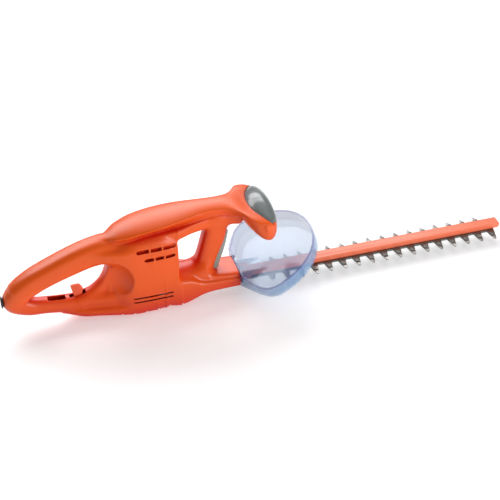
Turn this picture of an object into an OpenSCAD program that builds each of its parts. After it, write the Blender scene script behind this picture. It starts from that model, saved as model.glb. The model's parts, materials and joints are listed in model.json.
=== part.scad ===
// Electric hedge trimmer: D-handle and motor body in two halves, T-shaped front handle, clear hand guard,
// toothed comb blade bolted under a bar, and a cutter blade that an eccentric drives to and fro above it.
// Working frame: X runs forward to the tip, Y to the left, Z up. X = 0 is the middle of the last near tooth
// and Z = 0 is the underside of the blade bar. place() moves it to the centre of the whole tool's footprint.

/* [Blades] */
// Distance between neighbouring teeth
tooth_pitch = 26.5; // [24:0.5:30]
// Number of teeth on the right-hand side; the left-hand side has one fewer
teeth = 17; // [13:1:17]
// Distance from the middle of the bar to a tooth's tip
tooth_reach = 36; // [30:0.5:40]
// Half the width of a blade between its teeth
spine_half = 12.5; // [11:0.5:14]
// Thickness of each blade
blade_t = 2; // [1.5:0.1:2.2]
// Gap between the bar, the cutter and the comb
blade_gap = 0.3; // [0.2:0.05:0.5]

/* [Bar] */
// Width of the blade bar
bar_w = 18.6; // [16:0.2:22]
// Height of the blade bar
bar_h = 10; // [8:0.5:12]
// Front end of the bar
bar_tip = 18.8; // [14:0.2:24]

/* [Housing] */
// Wall thickness of the two housing halves
wall = 3; // [2.5:0.1:3.5]
// Half the width of the motor body
body_half = 38; // [38:0.5:42]
// Half the width of the nose
nose_half = 34; // [33:0.5:36]
// Lowest point of the body
belly_z = -20; // [-24:0.5:-19]
// Gap between the two housing halves
seam = 0.1; // [0.05:0.05:0.4]

/* [Guard] */
// Half the width of the hand guard
guard_half = 98; // [80:1:110]
// Height of the guard's raised rim
guard_rim = 24; // [14:1:28]
// Thickness of the guard's plastic
guard_t = 3; // [2:0.5:4]
// Slope of the guard's floor in degrees
guard_slope = 26.7; // [20:0.1:32]

/* [Drive] */
// Gear module
gear_module = 1.25; // [1.2:0.05:1.3]
// Teeth on the motor pinion
pinion_teeth = 9; // [9:1:10]
// Teeth on the gear wheel
gear_teeth = 45; // [43:1:46]
// Throw of the eccentric
throw = 6.6; // [5:0.1:6.6]
// Radius of the motor shaft
shaft_r = 4; // [3.5:0.1:4]

/* [Controls] */
// Travel of the palm switch
palm_travel = 2.5; // [1.5:0.1:3]
// Radius of the pivot pins of the trigger and the finger lever
pin_r = 2; // [1.5:0.1:2]

/* [Hidden] */

rear_x = -894.5;                                    // rear end of the cord bushing
mid_x = (rear_x + bar_tip) / 2;
nose_x = -486;                                    // front face of the nose
guard_foot_x = -468;                              // where the guard's floor plane crosses Z = 0
guard_mid_x = -432;                               // the guard's widest place
guard_front = 92;                                 // from there to the guard's front edge
guard_back = 46;                                  // and to the rear edge of its round part
motor_x = -644;
gear_x = motor_x + gear_module * (pinion_teeth + gear_teeth) / 2;
cutter_z = -blade_gap - blade_t;
comb_z = cutter_z - blade_gap - blade_t;
stroke = tooth_pitch / 2;
gear_z = 9;
gear_h = 8;
plate_z = 20;                                     // underside of the gearcase's top plate
plate_top = plate_z + 4;
stack_z = 52;
stack_h = 34;
trigger_x = -768;
trigger_z = 17;
lever_x = -507;
lever_z = 114;
lever_lean = 15.5;                                // the finger lever leans back as far as the brace does
lever_w = 13;                                     // width of its lower part
spring_seat_z = 118.5;                            // seats of the palm switch's springs
plunger_z = 138;                                  // undersides of the palm switch's plungers
palm_spring_x = -446;
palm_spring_y = 30;
cord_z = 38;
bushing_r = 8;
cord_r = 4;
tiny = 0.4;
seg = 28;                                         // points round a housing section

orange = [0.93, 0.36, 0.12];
clear_blue = [0.76, 0.82, 0.93, 0.5];
steel = [0.62, 0.63, 0.64];
dark_steel = [0.42, 0.42, 0.43];
copper = [0.75, 0.42, 0.22];
brass = [0.8, 0.65, 0.3];
grey_plastic = [0.55, 0.58, 0.58];
black_plastic = [0.1, 0.1, 0.11];
cast = [0.72, 0.73, 0.74];

// Stations of the housing's tubes: [x, z, direction in degrees, half width, half height, squareness].
rear_loop = [[-704, 8, 180, 27, 25, 2.8], [-740, 8, 180, 19, 17, 2.4], [-776, 9.5, 177, 16, 16, 2.3],
             [-820, 14, 174, 16, 16, 2.2], [-850, 19, 160, 17, 17, 2.2], [-872, 34, 115, 18.5, 21, 2.2],
             [-862, 53, 60, 19, 21, 2.2], [-838, 70, 36, 19.5, 22, 2.2], [-811, 83, 25, 20, 22.5, 2.2],
             [-776, 97, 20, 20, 24, 2.2], [-745, 107, 16, 20, 25, 2.2], [-715, 113, 12, 23, 28, 2.3],
             [-690, 126, 9, 28, 22, 2.4], [-661, 135, 6, 33, 18, 2.6], [-619, 141, 3, 35, 17, 2.6],
             [-573, 143, 1, 28, 20, 2.4], [-531, 142, 0, 21.5, 21, 2.3], [-505, 141, -2, 23, 21, 2.3],
             [-484, 139, -5, 31, 21, 2.3]];
body = [[-709, 46, 0, 27, 56, 4], [-697, 50, 0, 34, 67, 5], [-670, 54, 0, body_half, 55 - belly_z, 6],
        [-605, 54, 0, body_half, 55 - belly_z, 6], [-594, 54, 0, 33, 72, 5]];
nose = [[-604, 12, 0, 36, 30, 6], [-575, 11, 0, 36, 25, 6], [-545, 12.5, 0, nose_half + 0.5, 15, 7],
        [nose_x - 0.2, 12.2, 0, nose_half, 12.5, 8]];
brace = [[-517, 134, -98, 18, 20, 2.4], [-524, 100, -105, 16.5, 20.5, 2.4],
         [-537, 58, -107, 16.5, 18.5, 2.4], [-549, 20, -110, 22, 20, 2.6]];
// Web that fills the lower front corner of the D-handle.
gusset = [[-757, 17, 40, 15, 14, 2.4], [-734, 29, 40, 17, 16, 2.4], [-710, 43, 42, 22, 18, 3]];
// Stations of the T-handle from its middle to its end: [y, x, z, half length, half height, squareness].
t_handle = [[0, -461, 133, 33, 17.5, 2.4], [22, -460, 131.5, 31.5, 18.5, 2.4],
            [42, -455, 126.5, 27, 20.5, 2.4], [56, -450, 122.5, 20.5, 19.5, 2.3],
            [62, -449, 122, 15, 15, 2.2], [65, -449, 122, 9, 9, 2.2]];
palm_lens = [[0, -446, 140, 23, 18.5, 2], [16, -445.5, 139, 22.4, 18, 2], [32, -444, 137, 20, 16.5, 2],
             [46, -441.5, 133.5, 15.5, 14.5, 2], [56, -439.5, 131, 9.5, 11, 2], [61, -438.5, 130, 4, 7, 2]];

// Points of a superellipse: p = 2 is an ellipse, and a larger p is squarer.
function ring(w, h, p) = [for (i = [0:seg - 1]) let (a = 360 * i / seg, c = cos(a), s = sin(a))
    [w * sign(c) * pow(abs(c), 2 / p), h * sign(s) * pow(abs(s), 2 / p)]];

module place() translate([-mid_x, 0, -belly_z]) children();

module both_sides() {
    children();
    mirror([0, 1, 0]) children();
}

// One section of a tube that runs in the XZ plane.
module section(st, inset, trim)
    translate([st[0] + trim, 0, st[1]]) rotate([0, -st[2], 0]) rotate([90, 0, 90])
        linear_extrude(tiny, center = true) polygon(ring(st[3] - inset, st[4] - inset, st[5]));

// A tube through its stations; the inner tube ends short by its inset where the outer one ends in the open.
module tube(stations, inset = 0) {
    last = len(stations) - 1;
    for (i = [0:last - 1]) hull() {
        section(stations[i], inset, i == 0 ? inset : 0);
        section(stations[i + 1], inset, i + 1 == last ? -inset : 0);
    }
}

// A form that runs sideways from the middle, on both sides.
module cross_tube(stations, inset = 0)
    both_sides() for (i = [0:len(stations) - 2]) hull() for (k = [i, i + 1]) {
        st = stations[k];
        end = k == len(stations) - 1 ? inset : 0;
        translate([st[1], st[0] - end, st[2]]) rotate([90, 0, 0])
            linear_extrude(tiny, center = true) polygon(ring(st[3] - inset, st[4] - inset, st[5]));
    }

module housing_form(inset) {
    tube(rear_loop, inset);
    tube(body, inset);
    tube(nose, inset);
    tube(brace, inset);
    if (inset == 0) tube(gusset);
    cross_tube(t_handle, inset);
}

// Pins of the trigger and the finger lever: [x, z].
pin_places = [[trigger_x, trigger_z], [lever_x, lever_z]];
pin_half = 9.5;
pin_boss_r = 3.8;

// Screws of the housing: [x, z].
screw_places = [[-853, 60], [-722, 100], [-600, 136], [-700, 6], [-515, 137]];
boss_r = 5.5;
screw_head_y = 14;                                // undersides of their heads

module along_y(x, z, y0, y1, r, fn = 32)
    translate([x, y1, z]) rotate([90, 0, 0]) cylinder(r = r, h = y1 - y0, $fn = fn);

module block(x0, x1, y0, y1, z0, z1)
    translate([x0, y0, z0]) cube([x1 - x0, y1 - y0, z1 - z0]);

// Middle and underside of the rear microswitch.
rear_switch_x = -797;
rear_switch_z = 0.4;

// Air slots in the motor body's sides: [x0, x1, z0, z1].
vents = concat([for (i = [0:2]) [-668 + 23 * i, -648 + 23 * i, 112, 118]],
                [for (i = [0:2]) [-656 + 18 * i, -641 + 18 * i, 93, 98]],
                [[-677, -608, 18, 21], [-677, -608, 10, 13]]);

// Everything that is cut away from the hollow housing.
module housing_openings() {
    for (v = vents) block(v[0], v[1], -60, 60, v[2], v[3]);
    // the bar and the blades leave through the nose
    block(-568, nose_x + 5, -14.8, 14.8, -40, 3);
    block(nose_x - 10, nose_x + 5, -15.5, 15.5, -1, 14.6);
    for (y = guard_screw_y, z = guard_screw_z) guard_screw_hole(y, z, wall + 2);
    // the palm switch sinks into the top of the T-handle
    for (drop = [0, -1.3, -palm_travel - 0.6]) translate([0, 0, drop]) cross_tube(palm_lens, -0.5);
    // the trigger's slot and the recess behind it in the lower bar, the finger lever's slot in the brace,
    // and the cord's hole
    block(trigger_x - 12, trigger_x + 16, -5.2, 5.2, 18, 44);
    block(trigger_x - 49, trigger_x - 19, -6, 6, 18, 44);
    intersection() {
        translate([lever_x, 0, lever_z]) rotate([0, lever_lean, 0]) {
            block(-17, 20, -4.2, 4.2, -103, 6);
            block(-8, 20, -lever_w / 2 - 0.5, lever_w / 2 + 0.5, -103, -6);
        }
        block(-600, -450, -20, 20, 27.6, 130);
    }
    translate([rear_x - 5, 0, cord_z]) rotate([0, 90, 0])
        cylinder(r = bushing_r + 0.3, h = 40, $fn = 32);
    // room for the two torsion springs between the pin bosses, and the pins' holes
    for (p = pin_places) {
        along_y(p[0], p[1], -pin_half + 0.9, pin_half - 0.9, pin_boss_r + 0.6);
        along_y(p[0], p[1], -pin_half - 0.4, pin_half + 0.4, pin_r + 0.1, 24);
    }
}

module housing_half(side) color(orange) {
    difference() {
        intersection() {
            union() {
                difference() {
                    housing_form(0);
                    housing_form(wall);
                }
                intersection() {
                    union() {
                        for (s = screw_places) along_y(s[0], s[1], -40, 40, boss_r);
                        for (p = pin_places) along_y(p[0], p[1], -40, 40, pin_boss_r, 24);
                        // seats of the palm switch's springs and of the rear microswitch
                        both_sides() translate([palm_spring_x, palm_spring_y, spring_seat_z - 18])
                            cylinder(r = 6, h = 18, $fn = 24);
                        block(rear_switch_x - 8, rear_switch_x + 8, -14, 14, -6, rear_switch_z);
                    }
                    housing_form(wall / 2);
                }
            }
            if (side < 0) block(-1000, 100, -100, -seam / 2, belly_z, 300);
            else block(-1000, 100, seam / 2, 100, belly_z, 300);
        }
        housing_openings();
        for (s = screw_places) {
            along_y(s[0], s[1], -12, 40, 1.8, 20);
            along_y(s[0], s[1], screw_head_y, 40, 4, 20);
        }
    }
}

module housing_right() housing_half(-1);

module housing_left() housing_half(1);

// Self-tapping screws; each head sits in its well on the left-hand side.
module housing_screws() color(dark_steel) for (s = screw_places) {
    along_y(s[0], s[1], -11.5, screw_head_y, 1.7);
    difference() {
        along_y(s[0], s[1], screw_head_y, screw_head_y + 2.5, 3.6);
        translate([s[0] - 3, screw_head_y + 1.2, s[1] - 0.5]) cube([6, 2, 1]);
    }
}

// ---- hand guard -------------------------------------------------------------------------------------
// Half of the guard's outline in its own sloping plane, measured from its widest place.
function guard_outline(inset) = let (c = cos(guard_slope))
    [for (a = [-180:6:174]) [(cos(a) > 0 ? guard_front : guard_back) / c * cos(a) - inset * cos(a),
                             (guard_half - inset) * sin(a)]];

guard_neck = 56;                                  // half the neck's width where it meets the round part
guard_neck_x = -466;

module guard_neck_plan(inset)
    polygon([[nose_x, -nose_half - 2.5 + inset], [guard_neck_x, -guard_neck + inset],
             [guard_neck_x, guard_neck - inset], [nose_x, nose_half + 2.5 - inset]]);

module in_guard_plane()
    translate([guard_mid_x, 0, (guard_mid_x - guard_foot_x) * tan(guard_slope)])
        rotate([0, -guard_slope, 0]) children();

module guard_tray(inset, z0, z1)
    in_guard_plane() translate([0, 0, z0]) linear_extrude(z1 - z0) polygon(guard_outline(inset));

module hand_guard() color(clear_blue) {
    difference() {
        union() {
            // round tray: floor and rim
            difference() {
                guard_tray(0, 0, guard_rim);
                guard_tray(guard_t, guard_t, guard_rim + 1);
                block(-700, guard_neck_x, -120, 120, -60, 80);
            }
            // neck between the tray and the nose
            difference() {
                translate([0, 0, -1]) linear_extrude(31) guard_neck_plan(0);
                translate([0, 0, 2]) linear_extrude(31) guard_neck_plan(guard_t);
            }
            block(nose_x, nose_x + guard_t, -nose_half - 2, nose_half + 2, -1, 26);
            // tunnel over the bar clamp
            block(nose_x, -434, -tunnel_half - guard_t, tunnel_half + guard_t, -1, tunnel_top + guard_t);
        }
        // the tray keeps clear of the blades
        block(-600, -300, -120, 120, -60, -1);
        block(-600, -430, -tunnel_half, tunnel_half, -60, tunnel_top);
        for (y = guard_screw_y, z = guard_screw_z) guard_screw_hole(y, z, 1);
    }
}

tunnel_half = 16.2;
tunnel_top = 15.6;
guard_screw_y = [-26, 26];
guard_screw_z = [6, 20];

// A hole that starts that deep behind the nose's front face.
module guard_screw_hole(y, z, depth)
    translate([nose_x - depth, y, z]) rotate([0, 90, 0])
        cylinder(r = 2.15, h = depth + guard_t + 1, $fn = 24);

module guard_screws() color(dark_steel) for (y = guard_screw_y, z = guard_screw_z)
    translate([nose_x, y, z]) rotate([0, 90, 0]) {
        translate([0, 0, -wall]) cylinder(r = 2, h = wall + guard_t, $fn = 24);
        translate([0, 0, guard_t]) cylinder(r = 3.8, h = 2.2, $fn = 24);
    }

// Orange block that holds the bar where it leaves the nose.
clamp_x0 = nose_x + guard_t + 2.4;
clamp_x1 = -462;
clamp_top = 12.6;

module bar_clamp() color(orange) difference() {
    intersection() {
        block(clamp_x0, clamp_x1, -15, 15, 0, clamp_top);
        translate([clamp_x1 - 30, 0, 0]) cylinder(r = 34, h = 20, $fn = 96);
    }
    block(clamp_x0 - 1, clamp_x1 + 1, -bar_w / 2, bar_w / 2, -1, bar_h);
    translate([clamp_screw_x, 0, 5]) cylinder(r = 2.1, h = 20, $fn = 24);
}

// ---- bar and blades ---------------------------------------------------------------------------------
bar_rear = -566;
bolt_places = [for (i = [0:6]) -tooth_pitch * (0.75 + 2.5 * i)];
keeper_places = [-498, -530];
case_screw_places = [-558, -546];
clamp_screw_x = -474;

module blade_bar() color(orange) difference() {
    rotate([90, 0, 0]) linear_extrude(bar_w, center = true)
        polygon([[bar_rear, 0], [bar_tip - 2.8, 0], [bar_tip, 4], [bar_tip, bar_h - 1],
                 [bar_tip - 1, bar_h], [bar_rear, bar_h]]);
    for (x = concat(bolt_places, keeper_places)) translate([x, 0, -1]) cylinder(r = 2.5, h = 9, $fn = 24);
    translate([clamp_screw_x, 0, 2]) cylinder(r = 2, h = 20, $fn = 24);
    for (x = case_screw_places) translate([x, 0, 2]) cylinder(r = 2, h = 20, $fn = 24);
}

function right_teeth() = [for (i = [0:teeth - 1]) -tooth_pitch * (teeth - 1 - i)];
function left_teeth() = [for (i = [0:teeth - 2]) -tooth_pitch * (teeth - 1.5 - i)];

cut_reach = spine_half + 0.58 * (tooth_reach - spine_half);

// One cutter tooth: a blunt trapezoid.
function cutter_tooth(x) = [[x - 6.8, spine_half], [x - 3.6, cut_reach], [x + 3.6, cut_reach],
                            [x + 6.8, spine_half]];

// One comb tooth: longer, narrowing to a round tip.
tip_r = 2.2;
function comb_tooth(x) = concat([[x - 6.8, spine_half], [x - 4.6, cut_reach - 1]],
    [for (a = [170:-32:10]) [x + tip_r * cos(a), tooth_reach - tip_r + tip_r * sin(a)]],
    [[x + 4.6, cut_reach - 1], [x + 6.8, spine_half]]);

function joined(lists) = [for (l = lists) for (p = l) p];
function reversed(l) = [for (i = [len(l) - 1:-1:0]) l[i]];
function flipped(l) = [for (p = l) [p[0], -p[1]]];

blade_front = 9;
tail_front = -588;
tail_rear = gear_x - stroke - throw - 19;

module cutter_blade() color(dark_steel) {
    left = joined([for (x = left_teeth()) cutter_tooth(x)]);
    right = joined([for (x = right_teeth()) cutter_tooth(x)]);
    translate([0, 0, cutter_z]) linear_extrude(blade_t) difference() {
        polygon(concat([[tail_rear, -21], [tail_rear, 21], [tail_front, 21], [tail_front + 6, spine_half]],
                       left, [[blade_front - 3, spine_half], [blade_front, 7], [blade_front, -7],
                       [blade_front - 3, -spine_half]],
                       reversed(flipped(right)), [[tail_front + 6, -spine_half], [tail_front, -21]]));
        // drive window: it clears the eccentric at every angle over the whole stroke
        translate([gear_x - stroke - throw - 9.5, -throw - 9.5])
            square([stroke + 2 * throw + 19, 2 * throw + 19]);
        for (x = concat(bolt_places, keeper_places)) {
            for (end = [-stroke, 0]) translate([x + end, 0]) circle(r = 4.3, $fn = 32);
            translate([x - stroke, -4.3]) square([stroke, 8.6]);
        }
    }
}

module comb_blade() color(steel) {
    left = joined([for (x = left_teeth()) comb_tooth(x)]);
    right = joined([for (i = [0:teeth - 1]) let (x = right_teeth()[i]) i == 0 ? cutter_tooth(x)
                                                                              : comb_tooth(x)]);
    translate([0, 0, comb_z]) linear_extrude(blade_t) difference() {
        polygon(concat([[-562, -spine_half], [-562, spine_half]], left,
                       [[blade_front - 3, spine_half], [blade_front, 7], [blade_front, -7],
                       [blade_front - 3, -spine_half]], reversed(flipped(right))));
        for (x = concat(bolt_places, keeper_places)) translate([x, 0]) circle(r = 2.5, $fn = 32);
    }
}

// Bushes that hold the comb at its distance and that the cutter's slots slide on.
module blade_spacers() color(steel) for (x = concat(bolt_places, keeper_places))
    translate([x, 0, comb_z + blade_t]) difference() {
        cylinder(r = 4, h = -comb_z - blade_t, $fn = 32);
        translate([0, 0, -1]) cylinder(r = 2.5, h = 10, $fn = 32);
    }

module blade_bolts() color(dark_steel) {
    for (x = bolt_places) translate([x, 0, comb_z - 2]) {
        cylinder(r = 4.4, h = 2, $fn = 32);
        cylinder(r = 2.45, h = 2 - comb_z + 7, $fn = 32);
    }
    for (x = keeper_places) translate([x, 0, comb_z - 3.5]) {
        cylinder(r = 4.4, h = 2, $fn = 32);
        cylinder(r = 2.45, h = 3.5 - comb_z + 7, $fn = 32);
    }
}

// Steel strip that clamps the comb's rear end up against the bar.
module blade_keeper() color(dark_steel) difference() {
    block(-544, -489, -11, 11, comb_z - 1.5, comb_z);
    for (x = keeper_places) translate([x, 0, comb_z - 3]) cylinder(r = 2.5, h = 6, $fn = 32);
}

// ---- gearbox ----------------------------------------------------------------------------------------
// Spur teeth with straight flanks; root and tip are half a tooth's width there, in tooth pitches.
function spur(n, m, root = 0.34, tip = 0.12) = let (r = m * n / 2)
    [for (i = [0:n - 1], k = [-2, -1, 1, 2]) let (half = abs(k) == 2 ? root : tip,
        a = (i + sign(k) * half) * 360 / n, d = abs(k) == 2 ? r - 1.12 * m : r + 0.8 * m)
        [d * cos(a), d * sin(a)]];

module gearcase() color(cast) difference() {
    union() {
        translate([0, 0, 4]) linear_extrude(plate_top - 4) gearcase_plan(0);
        translate([motor_x, 0, plate_top]) cylinder(r = 14, h = 7, $fn = 48);
        translate([gear_x, 0, plate_top]) cylinder(r = 9, h = 6, $fn = 48);
        block(gear_x + 28, -540, -14, 14, bar_h, bar_h + 5);
    }
    translate([0, 0, 3]) linear_extrude(plate_z - 3) gearcase_plan(wall);
    translate([motor_x, 0, 0]) cylinder(r = 6, h = 60, $fn = 48);
    translate([motor_x, 0, plate_top]) cylinder(r = 11, h = 20, $fn = 48);
    translate([gear_x, 0, 0]) cylinder(r = 5, h = 60, $fn = 48);
    for (x = case_screw_places) translate([x, 0, 0]) cylinder(r = 2.1, h = 60, $fn = 24);
    // the bar's rear end passes under the wall
    block(gear_x + 20, -540, -bar_w / 2 - 0.2, bar_w / 2 + 0.2, 0, bar_h);
}

module gearcase_plan(inset) {
    translate([gear_x, 0]) circle(r = gear_module * gear_teeth / 2 + 5 - inset, $fn = 96);
    translate([motor_x, 0]) circle(r = 15 - inset, $fn = 64);
    translate([motor_x, -15 + inset]) square([gear_x - motor_x, 30 - 2 * inset]);
}

module gearcase_screws() color(dark_steel) {
    for (x = case_screw_places) translate([x, 0, 3]) {
        cylinder(r = 1.9, h = bar_h + 2, $fn = 24);
        translate([0, 0, bar_h + 2]) cylinder(r = 3.6, h = 2.4, $fn = 24);
    }
    translate([clamp_screw_x, 0, 3]) cylinder(r = 1.9, h = clamp_top - 3, $fn = 24);
    translate([clamp_screw_x, 0, clamp_top]) cylinder(r = 3.6, h = 1.2, $fn = 24);
}

module gear_spindle() color(steel)
    translate([gear_x, 0, gear_z + 1]) cylinder(r = 5, h = plate_top + 6 - gear_z - 1, $fn = 48);

module gear_wheel() color(steel) translate([gear_x, 0, gear_z]) difference() {
    union() {
        // a gap between two teeth faces the pinion's tooth
        rotate(gear_teeth % 2 == 1 ? 0 : 180 / gear_teeth)
            linear_extrude(gear_h) polygon(spur(gear_teeth, gear_module));
        cylinder(r = 9, h = gear_h + 2.4, $fn = 48);
    }
    translate([0, 0, 1]) cylinder(r = 5.04, h = 20, $fn = 48);
}

module eccentric() color(dark_steel)
    translate([gear_x, throw, cutter_z - 1]) cylinder(r = 9, h = gear_z - cutter_z + 1, $fn = 64);

// ---- motor ------------------------------------------------------------------------------------------
module pinion() color(steel) translate([motor_x, 0, gear_z - 1]) difference() {
    linear_extrude(gear_h + 2) polygon(spur(pinion_teeth, gear_module));
    translate([0, 0, -1]) cylinder(r = 2.5, h = 20, $fn = 32);
}

module motor_shaft() color(steel) translate([motor_x, 0, 0]) {
    translate([0, 0, gear_z - 2]) cylinder(r = 2.5, h = 12, $fn = 48);
    translate([0, 0, gear_z + 10]) cylinder(r = shaft_r, h = 124.5 - gear_z - 10, $fn = 48);
}

module rotor_part(z0, z1, r) translate([motor_x, 0, z0]) difference() {
    cylinder(r = r, h = z1 - z0, $fn = 64);
    translate([0, 0, -1]) cylinder(r = shaft_r, h = z1 - z0 + 2, $fn = 48);
}

module rotor_core() color(dark_steel) difference() {
    rotor_part(stack_z, stack_z + stack_h, 18.6);
    for (i = [0:11]) translate([motor_x, 0, stack_z - 1]) rotate(30 * i + 15)
        translate([16.2, -1.2, 0]) cube([4, 2.4, stack_h + 2]);
}

module rotor_windings() color(copper) {
    rotor_part(stack_z - 4, stack_z, 15);
    rotor_part(stack_z + stack_h, stack_z + stack_h + 8, 15);
}

module commutator() color(copper) difference() {
    rotor_part(97, 111, 11);
    for (i = [0:23]) translate([motor_x, 0, 98]) rotate(15 * i) translate([10.3, -0.3, 0]) cube([2, 0.6, 14]);
}

fan_z = 36;
module fan() color(black_plastic) {
    rotor_part(fan_z, fan_z + 2, 28);
    rotor_part(fan_z + 2, fan_z + 11, 8);
    for (i = [0:10]) translate([motor_x, 0, fan_z + 2]) rotate(360 / 11 * i)
        translate([8.5, -0.8, 0]) cube([19, 1.6, 8]);
}

module bearing(z, r_out, h) translate([motor_x, 0, z]) difference() {
    cylinder(r = r_out, h = h, $fn = 64);
    translate([0, 0, -1]) cylinder(r = shaft_r + 0.03, h = h + 2, $fn = 64);
    for (e = [-1, h - 0.6]) translate([0, 0, e]) difference() {
        cylinder(r = r_out - 2, h = 1.6, $fn = 64);
        translate([0, 0, -1]) cylinder(r = shaft_r + 2, h = 4, $fn = 64);
    }
}

module lower_bearing() color(steel) bearing(plate_top, 11, 7);

module upper_bearing() color(steel) bearing(116, 9.5, 6);

module field_stack() color(dark_steel) translate([motor_x, 0, stack_z]) linear_extrude(stack_h)
    difference() {
        intersection() {
            square([72, 62], center = true);
            circle(r = 42, $fn = 96);
        }
        circle(r = 19.4, $fn = 96);
        for (s = [-1, 1], t = [-1, 1]) translate([s * 24, t * 14]) square([9, 12], center = true);
        for (s = [-1, 1]) translate([s * screw_reach, 0]) circle(r = 2.2, $fn = 24);
    }

// Field coils: their sides run through the stack's slots and their heads show above and below.
module field_coils() color(copper) for (s = [-1, 1]) translate([motor_x + s * 24, 0, 0]) {
    for (t = [-1, 1]) translate([-4, t * 14 - 5.5, stack_z - 5]) cube([8, 11, stack_h + 10]);
    for (z = [stack_z - 5, stack_z + stack_h + 0.5]) translate([-4, -8.6, z]) cube([8, 17.2, 4.5]);
}

// Bridge over the brushes that holds the upper bearing; two long screws hold it and the field stack.
screw_reach = 32;
bracket_z = 114;
bracket_top = 123;

module bearing_bracket() color(cast) difference() {
    union() {
        block(motor_x - 36, motor_x + 36, -8, 8, bracket_z, bracket_top);
        translate([motor_x, 0, bracket_z]) cylinder(r = 13, h = bracket_top - bracket_z, $fn = 64);
        for (s = [-1, 1]) translate([motor_x + s * screw_reach - 4, -8, stack_z + stack_h])
            cube([8, 16, bracket_z - stack_z - stack_h]);
    }
    translate([motor_x, 0, 100]) cylinder(r = 7, h = 40, $fn = 64);
    translate([motor_x, 0, 100]) cylinder(r = 9.5, h = 22, $fn = 64);
    for (s = [-1, 1]) translate([motor_x + s * screw_reach, 0, 60]) cylinder(r = 2.2, h = 80, $fn = 24);
}

module motor_screws() color(dark_steel) for (s = [-1, 1]) translate([motor_x + s * screw_reach, 0, 0]) {
    translate([0, 0, stack_z - 6]) cylinder(r = 2.1, h = bracket_top - stack_z + 6, $fn = 24);
    translate([0, 0, bracket_top]) cylinder(r = 4, h = 2.2, $fn = 24);
}

module brush_holders() color(brass) both_sides() difference() {
    block(motor_x - 5, motor_x + 5, 13, 29, 99, 109);
    block(motor_x - 3.2, motor_x + 3.2, 12, 28, 100.8, 107.2);
}

module carbon_brushes() color([0.2, 0.2, 0.21]) both_sides()
    block(motor_x - 3.15, motor_x + 3.15, 11.1, 24, 100.85, 107.15);

// ---- controls ---------------------------------------------------------------------------------------
// The trigger's tab stands up through the slot, and its arm runs back to the microswitch.
module rear_trigger() color(orange) difference() {
    union() {
        intersection() {
            along_y(trigger_x, trigger_z, -4.5, 4.5, 30, 96);
            along_xz([[trigger_x - 1, trigger_z - 5], [trigger_x - 10.5, 52], [trigger_x + 4, 52],
                      [trigger_x + 12, 37], [trigger_x + 5, trigger_z - 5]], 9);
            // the tab narrows to a thin crest
            translate([trigger_x - 20, 0, trigger_z]) rotate([90, 0, 90]) linear_extrude(40)
                polygon([[-4.5, -6], [-4.5, 6], [-1.2, 31], [1.2, 31], [4.5, 6], [4.5, -6]]);
        }
        along_xz([[trigger_x + 5, trigger_z - 5], [trigger_x + 4, trigger_z + 4],
                  [trigger_x - 30, trigger_z - 1], [trigger_x - 38, trigger_z - 3],
                  [trigger_x - 38, trigger_z - 5]], 7);
    }
    translate([trigger_x, 20, trigger_z]) rotate([90, 0, 0]) cylinder(r = pin_r + 0.05, h = 40, $fn = 32);
}

module along_xz(points, width)
    rotate([90, 0, 0]) linear_extrude(width, center = true) polygon(points);

module trigger_pin() color(steel) along_y(trigger_x, trigger_z, -pin_half, pin_half, pin_r, 32);

// Rings of a coil round a pin, lying beside the part that it turns.
module torsion_coil(x, z, y0, turns) for (i = [0:turns - 1]) translate([x, y0 + 1.1 * i, z])
    rotate([90, 0, 0]) rotate_extrude($fn = 48) translate([pin_r + 0.7, 0]) circle(r = 0.45, $fn = 16);

module trigger_spring() color(steel) torsion_coil(trigger_x, trigger_z, 5.6, 3);

// A small snap switch: its body, the button on its top and three terminals in its rear end.
module microswitch() {
    translate([-6.4, -2.9, 0]) cube([12.8, 5.8, 5.6]);
    translate([1.2, -1.2, 5.6]) cube([1.8, 2.4, 0.9]);
    for (k = [-2, 0, 2]) translate([-9.4, -1.4, 2.4 + k]) cube([3, 2.8, 0.6]);
}

module rear_microswitch() color(black_plastic) translate([rear_switch_x, 0, rear_switch_z]) microswitch();

module palm_switch() color(grey_plastic) {
    difference() {
        cross_tube(palm_lens);
        cross_tube([for (st = palm_lens) [st[0] * 1.02, st[1], st[2] - 13, st[3] + 6, 17 - st[0] * 0.02, 6]]);
        translate([0, 0, -4.5]) cross_tube(palm_lens);
    }
    both_sides() translate([palm_spring_x, palm_spring_y, plunger_z]) cylinder(r = 5, h = 12, $fn = 24);
}

spring_turns = 5;
spring_wire = 0.5;

module palm_springs() color(steel) both_sides() for (i = [0:spring_turns - 1])
    translate([palm_spring_x, palm_spring_y, spring_seat_z + spring_wire + 0.1
               + i * (plunger_z - spring_seat_z - 2 * spring_wire - 0.2) / (spring_turns - 1)])
        rotate_extrude($fn = 32) translate([3.4, 0]) circle(r = spring_wire, $fn = 12);

// Long lever down the front of the brace, wider below its pivot and thicker at its foot.
module finger_lever() color(grey_plastic) difference() {
    translate([lever_x, 0, lever_z]) rotate([0, lever_lean, 0]) {
        along_xz([[-3, 4], [5, 4], [8.5, -9], [8.5, -16], [3, -50], [-4, -46], [-3, -40], [-3, 0]], 7.6);
        along_xz([[3, -8], [8.8, -8], [10.7, -32], [11, -49], [10.2, -64], [10, -76], [10.6, -82],
                  [8, -86.5], [3, -87], [-0.5, -83], [0, -72], [3.2, -50], [4, -30]], lever_w);
    }
    along_y(lever_x, lever_z, -20, 20, pin_r + 0.05, 32);
}

module lever_pin() color(steel) along_y(lever_x, lever_z, -pin_half, pin_half, pin_r, 32);

module lever_spring() color(steel) torsion_coil(lever_x, lever_z, 5.2, 3);

// It lies along the brace's rear wall, and its button faces the lever.
module front_microswitch() color(black_plastic) translate([lever_x, 0, lever_z])
    rotate([0, lever_lean, 0]) translate([-14.5, 0, -48]) rotate([0, 90, 0]) microswitch();

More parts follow.
